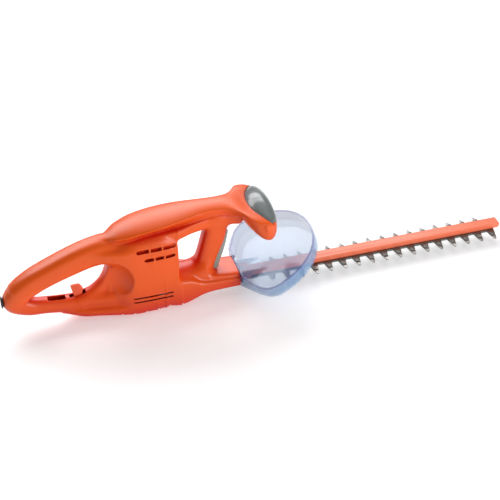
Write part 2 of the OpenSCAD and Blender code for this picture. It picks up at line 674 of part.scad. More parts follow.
// ---- wiring -----------------------------------------------------------------------------------------
module cord_bushing() color(black_plastic) translate([rear_x, 0, cord_z]) rotate([0, 90, 0]) difference() {
    union() {
        cylinder(r = bushing_r, h = 22, $fn = 64);
        cylinder(r = bushing_r + 2.5, h = 2, $fn = 64);
        translate([0, 0, 19]) cylinder(r = bushing_r + 2, h = 3, $fn = 64);
    }
    translate([0, 0, -1]) cylinder(r = cord_r, h = 30, $fn = 64);
}

module cord_clamp() color(black_plastic) block(-868, -856, -9, 9, 26, 30);

module terminal_block() color(black_plastic) block(-838, -818, -7, 7, 66, 78);

module suppressor_capacitor() color([0.75, 0.6, 0.2]) block(-800, -776, -8, 8, 82, 94);

module lead(points) for (i = [0:len(points) - 2]) hull() for (p = [points[i], points[i + 1]])
    translate(p) sphere(r = 1.1, $fn = 8);

module motor_leads() color([0.15, 0.25, 0.6]) for (s = [-1, 1])
    lead([[-817, s * 4, 74], [-800, s * 11, 86], [-760, s * 12, 103], [-715, s * 14, 117],
          [motor_x - 24, s * 14, 120], [motor_x - 6.2, s * 21, 106]]);

place() housing_right();
place() housing_left();
place() housing_screws();
place() hand_guard();
place() guard_screws();
place() bar_clamp();
place() blade_bar();
place() comb_blade();
place() cutter_blade();
place() blade_spacers();
place() blade_bolts();
place() blade_keeper();
place() gearcase();
place() gearcase_screws();
place() gear_spindle();
place() gear_wheel();
place() eccentric();
place() pinion();
place() motor_shaft();
place() rotor_core();
place() rotor_windings();
place() commutator();
place() fan();
place() lower_bearing();
place() upper_bearing();
place() field_stack();
place() field_coils();
place() bearing_bracket();
place() motor_screws();
place() brush_holders();
place() carbon_brushes();
place() rear_trigger();
place() trigger_pin();
place() trigger_spring();
place() rear_microswitch();
place() palm_switch();
place() palm_springs();
place() finger_lever();
place() lever_pin();
place() lever_spring();
place() front_microswitch();
place() cord_bushing();
place() cord_clamp();
place() terminal_block();
place() suppressor_capacitor();
place() motor_leads();
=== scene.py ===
import json
import math
from itertools import product

import bmesh
import bpy
import numpy as np
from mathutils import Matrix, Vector


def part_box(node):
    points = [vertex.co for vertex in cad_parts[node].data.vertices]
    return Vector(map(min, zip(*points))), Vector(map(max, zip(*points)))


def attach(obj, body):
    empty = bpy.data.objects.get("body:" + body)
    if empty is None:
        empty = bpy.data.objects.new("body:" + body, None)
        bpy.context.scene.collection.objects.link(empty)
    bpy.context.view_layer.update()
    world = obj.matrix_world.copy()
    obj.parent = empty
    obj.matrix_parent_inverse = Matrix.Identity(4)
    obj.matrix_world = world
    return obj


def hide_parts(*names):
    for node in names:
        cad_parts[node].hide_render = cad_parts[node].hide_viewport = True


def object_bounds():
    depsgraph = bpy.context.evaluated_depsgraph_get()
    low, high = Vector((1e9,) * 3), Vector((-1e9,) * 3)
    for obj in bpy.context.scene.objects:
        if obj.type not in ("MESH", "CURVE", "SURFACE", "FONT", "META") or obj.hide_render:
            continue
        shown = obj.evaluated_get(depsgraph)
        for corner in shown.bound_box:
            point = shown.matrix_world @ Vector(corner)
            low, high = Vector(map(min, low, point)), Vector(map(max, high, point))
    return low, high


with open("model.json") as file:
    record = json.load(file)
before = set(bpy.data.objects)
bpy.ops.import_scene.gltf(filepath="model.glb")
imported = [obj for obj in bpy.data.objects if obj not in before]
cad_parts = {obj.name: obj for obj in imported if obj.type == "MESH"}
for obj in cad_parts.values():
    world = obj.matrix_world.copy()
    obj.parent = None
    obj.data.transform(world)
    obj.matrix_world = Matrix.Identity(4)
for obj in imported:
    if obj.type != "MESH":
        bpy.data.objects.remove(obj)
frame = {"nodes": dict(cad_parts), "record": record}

CAD_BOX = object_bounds()

# The moulded parts are shaped in millimetres in the design's working frame: X = 0 at the last right-hand
# tooth, Z = 0 at the underside of the bar, whose front end lies at X = 18.8.
BAR_TIP_X = 18.8
ORIGIN = np.array([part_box("blade_bar")[1].x - BAR_TIP_X / 1000, 0.0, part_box("blade_bar")[0].z])


def to_row(points):
    """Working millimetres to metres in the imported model's frame."""
    return np.asarray(points, float) / 1000 + ORIGIN


def to_work(point):
    """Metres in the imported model's frame to working millimetres."""
    return (np.asarray(point, float) - ORIGIN) * 1000


# ---- camera, light and floor ------------------------------------------------------------------------
CAMERA_PLACE = (-1017.5, -1754.0, 1427.7)
CAMERA_TARGET = (-459.4, 0.0, 48.6)
LENS_MM = 95.26


def aim(obj, target):
    direction = Vector(target) - obj.location
    obj.rotation_euler = direction.to_track_quat("-Z", "Y").to_euler()


def make_camera():
    camera = bpy.data.objects.new("camera", bpy.data.cameras.new("camera"))
    camera.data.lens = LENS_MM
    camera.data.sensor_width = 36.0
    camera.location = to_row(CAMERA_PLACE)
    aim(camera, to_row(CAMERA_TARGET))
    bpy.context.scene.collection.objects.link(camera)
    bpy.context.scene.camera = camera


def add_area(name, place, target, size, power, color=(1, 1, 1)):
    light = bpy.data.lights.new(name, "AREA")
    light.shape = "RECTANGLE"
    light.size, light.size_y = size
    light.energy = power
    light.color = color
    obj = bpy.data.objects.new(name, light)
    obj.location = place
    aim(obj, target)
    bpy.context.scene.collection.objects.link(obj)


def make_studio():
    scene = bpy.context.scene
    scene.view_settings.view_transform = "Standard"
    world = bpy.data.worlds.new("studio")
    world.use_nodes = True
    background = world.node_tree.nodes["Background"]
    background.inputs["Color"].default_value = (0.95, 0.96, 1.0, 1)
    background.inputs["Strength"].default_value = 0.2
    scene.world = world
    add_area("overhead", (0.25, 0.2, 1.9), (-0.05, 0, 0.1), (1.9, 1.5), 6)
    add_area("back_sheen", (-0.3, 1.9, 1.6), (-0.1, 0, 0.1), (3.6, 1.2), 84)
    add_area("front_fill", (1.3, -1.9, 0.9), (-0.1, 0, 0.1), (1.3, 0.8), 38)
    size = 9.0
    mesh = bpy.data.meshes.new("floor")
    mesh.from_pydata([(-size, -size, 0), (size, -size, 0), (size, size, 0), (-size, size, 0)], [],
                     [(0, 1, 2, 3)])
    floor = bpy.data.objects.new("floor", mesh)
    bpy.context.scene.collection.objects.link(floor)
    floor.location.z = CAD_BOX[0][2] - 0.0005
    mesh.materials.append(material("studio_floor", (0.86, 0.86, 0.86), rough=(0.7, 0.8), bump=0.02,
                                   tint=0.01, specular=0.2, glow=0.3))


# ---- materials --------------------------------------------------------------------------------------
def material(name, color, rough=(0.3, 0.4), metallic=0.0, grain=(900, 900, 900), bump=0.05, tint=0.04,
             patch=9.0, wear=None, coat=0.0, alpha=1.0, specular=0.5, recess=None, glow=0.0):
    """Procedural finish: patches shift the colour and the roughness, and a fine grain makes the bump.
    grain is the noise scale along each axis, so unequal values give a ground or brushed surface. wear is the
    colour of exposed edges. recess is a painted shade: the colour that ambient occlusion darkens creases,
    undercuts and places near other parts towards."""
    mat = bpy.data.materials.new(name)
    mat.use_nodes = True
    nodes, links = mat.node_tree.nodes, mat.node_tree.links
    shader = nodes["Principled BSDF"]
    shader.inputs["Metallic"].default_value = metallic
    shader.inputs["Specular IOR Level"].default_value = specular
    shader.inputs["Coat Weight"].default_value = coat
    shader.inputs["Coat Roughness"].default_value = 0.12
    shader.inputs["Alpha"].default_value = alpha
    place = nodes.new("ShaderNodeTexCoord")

    patches = nodes.new("ShaderNodeTexNoise")
    patches.inputs["Scale"].default_value = patch
    patches.inputs["Detail"].default_value = 5
    links.new(place.outputs["Object"], patches.inputs["Vector"])
    shades = nodes.new("ShaderNodeValToRGB")
    low, high = shades.color_ramp.elements
    low.position, high.position = 0.3, 0.7
    low.color = (*[c * (1 - tint) for c in color], 1)
    high.color = (*[min(1, c * (1 + tint)) for c in color], 1)
    links.new(patches.outputs["Fac"], shades.inputs["Fac"])
    base = shades.outputs["Color"]

    if wear:
        geometry = nodes.new("ShaderNodeNewGeometry")
        edges = nodes.new("ShaderNodeMapRange")
        edges.inputs["From Min"].default_value = 0.52
        edges.inputs["From Max"].default_value = 0.62
        links.new(geometry.outputs["Pointiness"], edges.inputs["Value"])
        blend = nodes.new("ShaderNodeMix")
        blend.data_type = "RGBA"
        blend.inputs["B"].default_value = (*wear, 1)
        links.new(edges.outputs["Result"], blend.inputs["Factor"])
        links.new(base, blend.inputs["A"])
        base = blend.outputs["Result"]
    # Painted shade: ambient occlusion pulls the colour towards the recess colour in creases, undercuts and
    # gaps, standing in for the shade that falls there.
    if recess:
        painted_shade_ao = nodes.new("ShaderNodeAmbientOcclusion")
        painted_shade_ao.inputs["Distance"].default_value = 0.07
        painted_shade_ao.samples = 8
        painted_shade_weight = nodes.new("ShaderNodeMapRange")
        painted_shade_weight.inputs["From Min"].default_value = 0.5
        painted_shade_weight.inputs["From Max"].default_value = 0.97
        links.new(painted_shade_ao.outputs["AO"], painted_shade_weight.inputs["Value"])
        toned = nodes.new("ShaderNodeMix")
        toned.data_type = "RGBA"
        toned.inputs["A"].default_value = (*recess, 1)
        links.new(painted_shade_weight.outputs["Result"], toned.inputs["Factor"])
        links.new(base, toned.inputs["B"])
        base = toned.outputs["Result"]
    if glow:
        shader.inputs["Emission Color"].default_value = (1, 1, 1, 1)
        shader.inputs["Emission Strength"].default_value = glow
    links.new(base, shader.inputs["Base Color"])

    stretch = nodes.new("ShaderNodeMapping")
    stretch.inputs["Scale"].default_value = grain
    links.new(place.outputs["Object"], stretch.inputs["Vector"])
    fine = nodes.new("ShaderNodeTexNoise")
    fine.inputs["Scale"].default_value = 1.0
    fine.inputs["Detail"].default_value = 3
    links.new(stretch.outputs["Vector"], fine.inputs["Vector"])
    mixed = nodes.new("ShaderNodeMath")
    mixed.operation = "MULTIPLY_ADD"
    mixed.inputs[1].default_value = 0.4
    links.new(fine.outputs["Fac"], mixed.inputs[0])
    links.new(patches.outputs["Fac"], mixed.inputs[2])
    gloss = nodes.new("ShaderNodeMapRange")
    gloss.inputs["From Min"].default_value = 0.4
    gloss.inputs["From Max"].default_value = 1.0
    gloss.inputs["To Min"].default_value = rough[0]
    gloss.inputs["To Max"].default_value = rough[1]
    links.new(mixed.outputs["Value"], gloss.inputs["Value"])
    links.new(gloss.outputs["Result"], shader.inputs["Roughness"])
    relief = nodes.new("ShaderNodeBump")
    relief.inputs["Strength"].default_value = bump
    relief.inputs["Distance"].default_value = 0.0004
    links.new(fine.outputs["Fac"], relief.inputs["Height"])
    links.new(relief.outputs["Normal"], shader.inputs["Normal"])
    return mat


ORANGE = (0.80, 0.092, 0.002)
# Painted shade colour: ambient occlusion darkens the housing's creases and undercuts towards it.
PAINTED_SHADE_ORANGE = (0.60, 0.016, 0.001)


def make_materials():
    return {
        "housing": material("moulded_orange", ORANGE, rough=(0.3, 0.42), grain=(1400, 1400, 1400), bump=0.06,
                            tint=0.05, wear=(0.8, 0.12, 0.01), specular=0.42, recess=PAINTED_SHADE_ORANGE),
        "screws": material("blackened_steel", (0.06, 0.06, 0.065), rough=(0.3, 0.5), metallic=0.9,
                           wear=(0.25, 0.24, 0.23)),
        "guard": material("tinted_clear", (0.18, 0.34, 0.56), rough=(0.06, 0.14), bump=0.02, tint=0.05,
                          alpha=0.39),
        "guard_edge": material("tinted_edge", (0.13, 0.15, 0.42), rough=(0.08, 0.16), bump=0.02, alpha=0.55),
        "clamp": material("clamp_orange", (0.80, 0.13, 0.05), rough=(0.35, 0.45)),
        "bar": material("powder_coat", (0.80, 0.10, 0.025), rough=(0.32, 0.46), grain=(2500, 2500, 2500),
                        bump=0.12, wear=(0.9, 0.3, 0.18)),
        "comb": material("ground_steel", (0.24, 0.23, 0.22), rough=(0.34, 0.5), metallic=1.0,
                         grain=(2600, 120, 300), bump=0.25, tint=0.14, patch=35, wear=(0.42, 0.41, 0.4)),
        "cutter": material("oiled_steel", (0.15, 0.135, 0.12), rough=(0.34, 0.52), metallic=1.0,
                           grain=(2600, 120, 300), bump=0.25, tint=0.2, patch=40, wear=(0.34, 0.32, 0.3)),
        "bright_steel": material("turned_steel", (0.6, 0.6, 0.6), rough=(0.2, 0.35), metallic=1.0,
                                 grain=(300, 300, 3000), bump=0.12, tint=0.06, patch=30),
        "castings": material("cast_aluminium", (0.55, 0.56, 0.57), rough=(0.42, 0.6), metallic=1.0,
                             grain=(700, 700, 700), bump=0.35, tint=0.1, patch=25),
        "laminations": material("stacked_sheet", (0.17, 0.17, 0.18), rough=(0.35, 0.55), metallic=0.9,
                                grain=(60, 60, 4000), bump=0.5, tint=0.1),
        "copper": material("enamelled_copper", (0.55, 0.2, 0.08), rough=(0.25, 0.4), metallic=0.9,
                           grain=(200, 200, 2600), bump=0.5, tint=0.12),
        "black_plastic": material("matt_black", (0.02, 0.02, 0.022), rough=(0.45, 0.62), bump=0.12),
        "brass": material("drawn_brass", (0.62, 0.42, 0.14), rough=(0.22, 0.38), metallic=1.0, tint=0.08),
        "carbon": material("pressed_carbon", (0.035, 0.035, 0.037), rough=(0.5, 0.7), bump=0.3),
        "trigger": material("trigger_orange", (0.83, 0.10, 0.03), rough=(0.32, 0.42), bump=0.05),
        "palm_pad": material("smoked_grey", (0.15, 0.165, 0.165), rough=(0.25, 0.34), bump=0.02, coat=0.25,
                             tint=0.06),
        "lever": material("lever_grey", (0.27, 0.31, 0.27), rough=(0.34, 0.48), bump=0.06),
        "bushing": material("black_rubber", (0.018, 0.018, 0.019), rough=(0.55, 0.75), bump=0.15),
        "capacitor": material("amber_resin", (0.45, 0.24, 0.03), rough=(0.2, 0.32)),
        "lead_wire": material("blue_insulation", (0.02, 0.06, 0.3), rough=(0.3, 0.42)),
    }


# ---- implicit shapes --------------------------------------------------------------------------------
# A field is a function of x, y and z that is below 0 inside the material and grows like a distance.
def curve_through(rows, steps=10):
    """Catmull-Rom curve through rows of numbers."""
    rows = np.array(rows, float)
    ends = np.vstack([2 * rows[0] - rows[1], rows, 2 * rows[-1] - rows[-2]])
    t = np.arange(steps)[:, None] / steps
    pieces = [0.5 * (2 * b + (c - a) * t + (2 * a - 5 * b + 4 * c - d) * t ** 2
                     + (3 * b - a - 3 * c + d) * t ** 3)
              for a, b, c, d in zip(ends, ends[1:], ends[2:], ends[3:])]
    return np.vstack(pieces + [rows[-1:]])


def super_distance(offsets, sizes, power):
    """Roughly the distance to a superellipsoid with these half sizes."""
    scaled = [np.abs(o) / s for o, s in zip(offsets, sizes)]
    radius = np.maximum(sum(q ** power for q in scaled) ** (1 / power), 1e-3)
    slope = sum((q / radius) ** (2 * power - 2) / s ** 2 for q, s in zip(scaled, sizes)) ** 0.5
    return (radius - 1) / slope


def tube(x, y, z, rows, cap=4.0):
    """A tube along a path in the XZ plane. Rows: x, z, half width, extent to the left of the path, extent
    to its right, squareness on the left, squareness on the right."""
    path = curve_through([[*r, r[-1]] if len(r) == 6 else r for r in rows])
    tangent = np.gradient(path[:, :2], axis=0)
    spacing = np.linalg.norm(tangent, axis=1)
    tangent /= spacing[:, None]
    nearest = np.full(np.broadcast(x, z).shape, np.inf)
    index = np.zeros(nearest.shape, int)
    for k, row in enumerate(path):
        away = ((x - row[0]) ** 2 + (z - row[1]) ** 2) / max(row[3], row[4]) ** 2
        closer = away < nearest
        nearest[closer] = away[closer]
        index[closer] = k
    along = (x - path[index, 0]) * tangent[index, 0] + (z - path[index, 1]) * tangent[index, 1]
    place = np.clip(index + np.clip(along / spacing[index], -0.5, 0.5), 0, len(path) - 1)
    below = np.minimum(place.astype(int), len(path) - 2)
    part = (place - below)[..., None]
    row = path[below] * (1 - part) + path[below + 1] * part
    way = tangent[below] * (1 - part) + tangent[below + 1] * part
    way /= np.linalg.norm(way, axis=-1, keepdims=True)
    dx, dz = x - row[..., 0], z - row[..., 1]
    along = dx * way[..., 0] + dz * way[..., 1]
    left = dz * way[..., 0] - dx * way[..., 1]
    extent = np.where(left > 0, row[..., 3], row[..., 4])
    power = np.where(left > 0, row[..., 5], row[..., 6])
    return super_distance([y, left, along], [row[..., 2], extent, cap], power)


def long_form(x, y, z, rows, cap=4.0):
    """A form that runs along X. Rows: x, z, half width, extent above, extent below, squareness above,
    squareness below."""
    path = curve_through([[*r, r[-1]] if len(r) == 6 else r for r in rows])
    mid_z, width, above, below, high, low = [np.interp(x, path[:, 0], path[:, i]) for i in range(1, 7)]
    dz = z - mid_z
    over = np.maximum(np.maximum(path[0, 0] - x, x - path[-1, 0]), 0)
    return super_distance([y, dz, over], [width, np.where(dz > 0, above, below), cap],
                          np.where(dz > 0, high, low))


def cross_form(x, y, z, rows, lean=0.0, tilt=0.0, end=2.0):
    """A form that runs sideways from the middle. Rows: y, x, z, half length, extent above, extent below,
    squareness. It leans forward as it goes down, and its widest plane tilts down towards the front."""
    path = curve_through(rows)
    at = np.abs(y)
    mid_x, mid_z, length, above, below, power = [np.interp(at, path[:, 0], path[:, i]) for i in range(1, 7)]
    dz = z - mid_z + tilt * (x - mid_x)
    dx = x - mid_x + lean * np.minimum(dz, 0)
    over = np.maximum(at - path[-1, 0], 0)
    return super_distance([dx, dz, over], [length, np.where(dz > 0, above, below), end], power)


def join(a, b, k):
    """Union with a fillet of about k."""
    h = np.clip(0.5 + 0.5 * (b - a) / k, 0, 1)
    return b + (a - b) * h - k * h * (1 - h)


def cut(a, b, k):
    """a without b, with the edge rounded by about k."""
    return -join(-a, b, k)


def slab(v, low, high):
    """Distance outside low..high along one axis."""
    return np.maximum(low - v, v - high)


def block(x, y, z, xs, ys, zs):
    return np.maximum(np.maximum(slab(x, *xs), slab(y, *ys)), slab(z, *zs))


def stadium(x, z, x0, x1, mid_z, radius):
    """A slot with round ends in the XZ plane."""
    return np.hypot(x - np.clip(x, x0 + radius, x1 - radius), z - mid_z) - radius


def solidify(field, low, high, step, refine=2):
    """Vertices and quads of the surface where the field is 0: surface nets, moved onto the exact surface."""
    axes = [np.arange(l, h + step, step) for l, h in zip(low, high)]
    x, y, z = axes[0][:, None, None], axes[1][None, :, None], axes[2][None, None, :]
    value = np.broadcast_to(field(x, y, z), tuple(len(a) for a in axes))
    inside = value < 0
    sizes = [n - 1 for n in value.shape]

    def shifted(array, offset):
        return array[tuple(slice(o, o + n) for o, n in zip(offset, sizes))]

    corners = sum(shifted(inside, o).astype(np.int8) for o in product((0, 1), repeat=3))
    mixed = (corners > 0) & (corners < 8)
    cells = np.argwhere(mixed)
    number = np.full(mixed.shape, -1)
    number[mixed] = np.arange(len(cells))
    total, hits = np.zeros((len(cells), 3)), np.zeros(len(cells))
    for axis in range(3):
        for offset in product((0, 1), repeat=3):
            if offset[axis]:
                continue
            step_to = np.eye(3, dtype=int)[axis]
            a = value[tuple((cells + offset).T)]
            b = value[tuple((cells + offset + step_to).T)]
            crossed = (a < 0) != (b < 0)
            t = np.where(crossed, a / np.where(crossed, a - b, 1), 0)
            total += crossed[:, None] * (np.array(offset) + t[:, None] * step_to)
            hits += crossed
    points = np.array(low) + step * (cells + total / hits[:, None])

    quads = []
    for axis in range(3):
        others = [(axis + 1) % 3, (axis + 2) % 3]
        here = tuple(slice(0 if i == axis else 1, n if i == axis else n) for i, n in enumerate(sizes))
        there = tuple(slice(1, n + 1 if i == axis else n) for i, n in enumerate(sizes))
        first, second = inside[here], inside[there]
        for flip, edges in ((False, first & ~second), (True, ~first & second)):
            at = np.argwhere(edges) + [0 if i == axis else 1 for i in range(3)]
            u, v = np.eye(3, dtype=int)[others[0]], np.eye(3, dtype=int)[others[1]]
            ring = [number[tuple((at - d).T)] for d in (u + v, v, 0 * u, u)]
            quads.append(np.stack(ring[::-1] if flip else ring, axis=1))
    quads = np.vstack(quads)

    nudge = 0.15 * step
    for _ in range(refine):
        x, y, z = points.T
        level = field(x, y, z)
        slope = np.stack([field(x + nudge, y, z) - level, field(x, y + nudge, z) - level,
                          field(x, y, z + nudge) - level], axis=1) / nudge
        size = np.maximum((slope ** 2).sum(1), 0.2)
        move = -(level / size)[:, None] * slope
        points += np.clip(move, -0.6 * step, 0.6 * step)
    return points, quads


def mesh_object(name, points, faces, sharp=35):
    mesh = bpy.data.meshes.new(name)
    mesh.vertices.add(len(points))
    mesh.vertices.foreach_set("co", np.asarray(points, np.float32).ravel())
    corners = faces.shape[1]
    mesh.loops.add(faces.size)
    mesh.loops.foreach_set("vertex_index", faces.astype(np.int32).ravel())
    mesh.polygons.add(len(faces))
    mesh.polygons.foreach_set("loop_start", np.arange(0, faces.size, corners, dtype=np.int32))
    mesh.update(calc_edges=True)
    mesh.validate()
    mesh.shade_smooth()
    mesh.set_sharp_from_angle(angle=math.radians(sharp))
    obj = bpy.data.objects.new(name, mesh)
    bpy.context.scene.collection.objects.link(obj)
    return obj


# ---- housing ----------------------------------------------------------------------------------------
HOUSING_STEP = 1.35
WALL = 2.8
# The hollow stops at this half width, so the ends of the T-handle are solid.
HOLLOW_HALF = 57.0
SEAM = 0.06
BELLY_Z = -20.0
NOSE_X = -486.0
# Lower bar of the D-handle and the turn at its rear. The left side of the path is outside.
LOOP = [[-640, 6, 34, 25, 22, 4], [-674, 7, 31, 24.5, 23, 3.4], [-704, 8, 25.5, 20.5, 24, 2.8],
        [-740, 8.5, 18.5, 17, 17, 2.5], [-776, 9.5, 15.5, 14.5, 15, 2.5],
        [-820, 14.5, 14.5, 12.5, 14.5, 2.4], [-850, 19, 15.5, 14, 17, 2.3], [-873, 35, 17.5, 18.5, 20, 2.3],
        [-862, 53, 19, 21, 21, 2.5, 2.3]]
# Upper tube, from the rear turn to the T-handle.
UPPER = [[-873, 35, 17.5, 18.5, 20, 2.3], [-862, 53, 19, 20.5, 21, 2.5, 2.3],
         [-838, 70, 19.5, 20.5, 22.5, 2.9, 2.3], [-811, 82.5, 20, 20.5, 23, 3.2, 2.3],
         [-776, 96.5, 20, 21, 25, 3.3, 2.4], [-745, 106.5, 20.5, 21.5, 26, 3.3, 2.4],
         [-715, 113, 21.5, 21, 28, 3, 2.5], [-690, 118, 23, 14, 26, 2.8], [-661, 124, 24, 9, 24, 2.8],
         [-625, 129, 26, 7, 24, 3], [-595, 132, 28, 7, 20, 3.2], [-572, 135.5, 24.5, 7, 18, 3.2],
         [-547, 138.5, 20.5, 7, 19, 3.1], [-530, 139.5, 18.5, 7, 18, 3], [-508, 140, 19, 7, 19, 2.8],
         [-484, 139, 24, 7, 21, 2.6]]
# Flared foot of the body, from the grip to the belly.
SKIRT = [[-792, 0, 11, 7, 5, 2.6], [-776, -1, 18, 8, 8, 2.8], [-758, -3, 24, 9, 9.5, 3],
         [-738, -4, 28, 9, 8.5, 3.2], [-716, -5, 31.5, 10, 9.5, 3.4], [-690, -6, 35.5, 12, 11.5, 3.6],
         [-664, -6, 36.5, 12, 13, 4], [-640, -6, 33, 10, 11, 4]]
# Shoulder that widens from the upper tube to the body.
SHOULDER = [[-768, 98, 15, 13, 11, 2.6], [-742, 105, 20, 14, 14, 2.8], [-715, 107, 28, 14.5, 19, 3],
            [-692, 105, 34.5, 17, 28, 3.4], [-668, 104, 36.5, 20, 30, 4], [-645, 104, 33, 18, 28, 4]]
# The cap on top of the body and the handle: its rim is the path, and below the rim it slants inwards.
DECK = [[-722, 130, 4, 2, 34, 1.8, 1.15], [-709, 134.5, 13, 3, 42, 1.8, 1.15],
        [-701, 136.8, 19.5, 5, 45, 1.8, 1.15], [-693, 139, 24.5, 6.8, 38, 1.8, 1.15],
        [-676, 143, 30.5, 8.2, 32, 1.8, 1.15], [-661, 147, 32.5, 8, 30, 1.8, 1.15],
        [-640, 150.8, 33.5, 7.5, 30, 1.8, 1.15], [-619, 153.8, 33, 7, 31, 1.8, 1.15],
        [-596, 156.8, 30.5, 6, 34, 1.8, 1.15], [-573, 159, 26.5, 5.4, 38, 1.8, 1.15],
        [-550, 160.5, 22, 5, 42, 1.8, 1.15], [-531, 160.8, 20, 4.6, 48, 1.8, 1.15],
        [-510, 159.8, 21, 4.5, 44, 1.8, 1.15], [-497, 157.6, 26, 4.2, 38, 1.8, 1.2],
        [-486, 155, 35, 3.6, 24, 1.9, 1.4], [-472, 150, 52, 3.4, 14, 2.1, 1.6],
        [-460, 146.2, 60.5, 3.4, 12, 2.2, 1.8], [-448, 142.5, 62, 3.4, 12, 2.2, 1.8],
        [-437, 139, 58, 3.2, 11, 2.2, 1.8], [-430, 136.6, 48, 2.4, 8, 2.2, 1.8]]
BODY = [[-708, 52, 14, 60, 62, 3], [-698, 54, 26, 68, 67, 4.5], [-686, 54, 34, 74, 71, 5.5],
        [-670, 54, 38, 77, 72.5, 6], [-640, 54, 38.6, 79, 74, 6], [-617, 54, 38, 78, 73.2, 6],
        [-600.5, 54, 36.5, 71, 70.5, 5.5]]
NOSE_TOP = [[-590, 17, 25, 12.5, 12, 6], [-538, 17, 27.5, 12, 12, 6], [-510, 16, 28.5, 10.4, 12, 6],
            [NOSE_X - 3, 14, 29, 10.8, 12, 6]]
NOSE = [[-616, 12, 33, 24, 24, 6], [-602, 12, 37.3, 29.5, 29.7, 6], [-588, 11, 37, 27, 28.5, 6],
        [-572, 11, 36, 23, 23.5, 6], [-556, 12, 35, 15, 18, 4, 6], [-540, 12.5, 34.4, 11, 14.2, 4, 7],
        [-510, 12.6, 34, 9, 12.6, 4, 8], [NOSE_X - 3, 12.4, 34, 8.6, 12.4, 4, 8]]
# Floor of the window, between the body and the foot of the brace.
WEB = [[-604, 29, 27, 18, 22, 2.3], [-582, 28, 25, 17.5, 22, 2.2], [-560, 30, 24, 18, 22, 2.2],
       [-545, 34, 23, 20, 24, 2.3]]
# Brace in front of the window, from the handle down to the nose.
BRACE = [[-512, 138, 18.5, 14, 23, 2.4, 3], [-518, 118, 17, 17.5, 22.5, 2.4, 3],
         [-525, 90, 16.5, 18, 22.5, 2.3, 3], [-533, 60, 16.8, 13, 22.5, 2.3, 3],
         [-540, 34, 19, 11, 24, 2.3, 3], [-546, 16, 23, 14, 26, 2.4, 2.8]]
# Web that fills the lower front corner of the D-handle.
GUSSET = [[-760, 14, 12.5, 12, 14, 2.2], [-737, 25, 11.5, 12, 16, 2.2], [-719, 40, 11.5, 12, 18, 2.4],
          [-704, 60, 15, 13, 20, 3]]
# Rows of the T-handle: its rim, with a shallow crown above and a deep rounded keel below. The rim slopes
# down towards the front, and the keel leans forward.
T_HANDLE = [[0, -458, 144, 26, 2, 29, 2.2], [22, -458, 145, 28, 2, 32, 2.2],
            [35, -456, 146, 27, 2.5, 35, 2.2], [46, -453, 145, 24, 3, 36.5, 2.2],
            [54, -450.5, 143.5, 20.5, 3, 36, 2.2], [59, -449.8, 142, 15, 3, 32, 2.2],
            [62, -449.5, 141, 9.5, 2.5, 26, 2], [64, -449.5, 140.5, 4, 1.5, 14, 2]]
T_LEAN = 0.12
T_TILT = 0.33
PALM = [[0, -446, 140, 23, 18.8, 18, 2], [16, -445.5, 139, 22.4, 18.3, 17, 2],
        [32, -444, 137, 20, 16.8, 16, 2], [44, -442, 135.5, 16, 14.5, 14, 2],
        [52, -440.5, 135, 10.5, 11.5, 10, 2], [57, -440, 135, 4, 7, 5, 2]]
PALM_TRAVEL = 2.5
PALM_GAP = 0.5
# The pad's recess in the handle reaches down to here.
PALM_FLOOR = 134.0
# Slots in the side: each row is one stadium that thin ribs divide. x0, x1, middle z, half height, ribs.
VENT_ROWS = [[-668, -600, 114.5, 3.4, (-645, -623)], [-655, -602, 96.5, 3.1, (-637.5, -620)],
             [-677, -608, 19.6, 1.5, ()], [-677, -608, 11.4, 1.5, ()]]
RIB_HALF, RIB_LEAN = 1.5, 0.15
# Dished sides: the ellipsoid's centre and its three half axes.
REAR_DISH = ((-722, 52, 58), (51, 41, 50))
# Air grooves across the belly.
GROOVE_STEP, GROOVE_HALF, GROOVE_DEPTH = 21.0, 2, 1.2
GROOVE_START_X = -560
GROOVE_ZONE_X, GROOVE_ZONE_Z = (-700, -566), (-40, -10)


def dish(x, y, z, form):
    centre, halves = form
    return super_distance([x - centre[0], y - centre[1], z - centre[2]], halves, 2.0)


def housing_form(x, y, z):
    """Outside of the closed housing."""
    y = np.abs(y)
    loop = np.minimum(tube(x, y, z, LOOP, cap=10), tube(x, y, z, UPPER, cap=10))
    form = join(loop, tube(x, y, z, GUSSET, cap=4), 9)
    form = join(form, long_form(x, y, z, BODY, cap=6), 7)
    form = join(form, long_form(x, y, z, SHOULDER), 5)
    form = cut(join(form, long_form(x, y, z, SKIRT), 5), dish(x, y, z, REAR_DISH), 2)
    form = join(form, long_form(x, y, z, NOSE, cap=3), 6)
    form = join(form, long_form(x, y, z, NOSE_TOP, cap=3), 2.5)
    form = join(form, long_form(x, y, z, WEB, cap=6), 7)
    form = join(form, tube(x, y, z, BRACE, cap=6), 11)
    handle = cross_form(x, y, z, T_HANDLE, T_LEAN, T_TILT)
    top = join(long_form(x, y, z, DECK, cap=6), handle, 3)
    form = join(form, top, 3.5)
    return np.maximum(form, BELLY_Z - z)


def side_slots(x, z):
    holes = np.inf
    for x0, x1, mid_z, radius, ribs in VENT_ROWS:
        row = stadium(x, z, x0, x1, mid_z, radius)
        for rib in ribs:
            row = np.maximum(row, RIB_HALF - np.abs(x - rib - RIB_LEAN * (z - mid_z)))
        holes = np.minimum(holes, row)
    return holes


def cylinder_y(x, z, place, radius):
    return np.hypot(x - place[0], z - place[1]) - radius


SCREW_PLACES = [(-853, 60), (-722, 100), (-600, 136), (-700, 6), (-515, 137)]
BOSS_R, BOSS_REACH = 5.5, 10
WELL_R, WELL_FLOOR_Y = 4.0, 14
SCREW_R, SCREW_END_Y = 1.8, 12
TRIGGER = (-768, 17)
LEVER = (-507, 114)
LEVER_LEAN = math.radians(15.5)
CORD_Z = 38.0
CORD_HOLE_R, CORD_HOLE_END_X = 8.3, -865
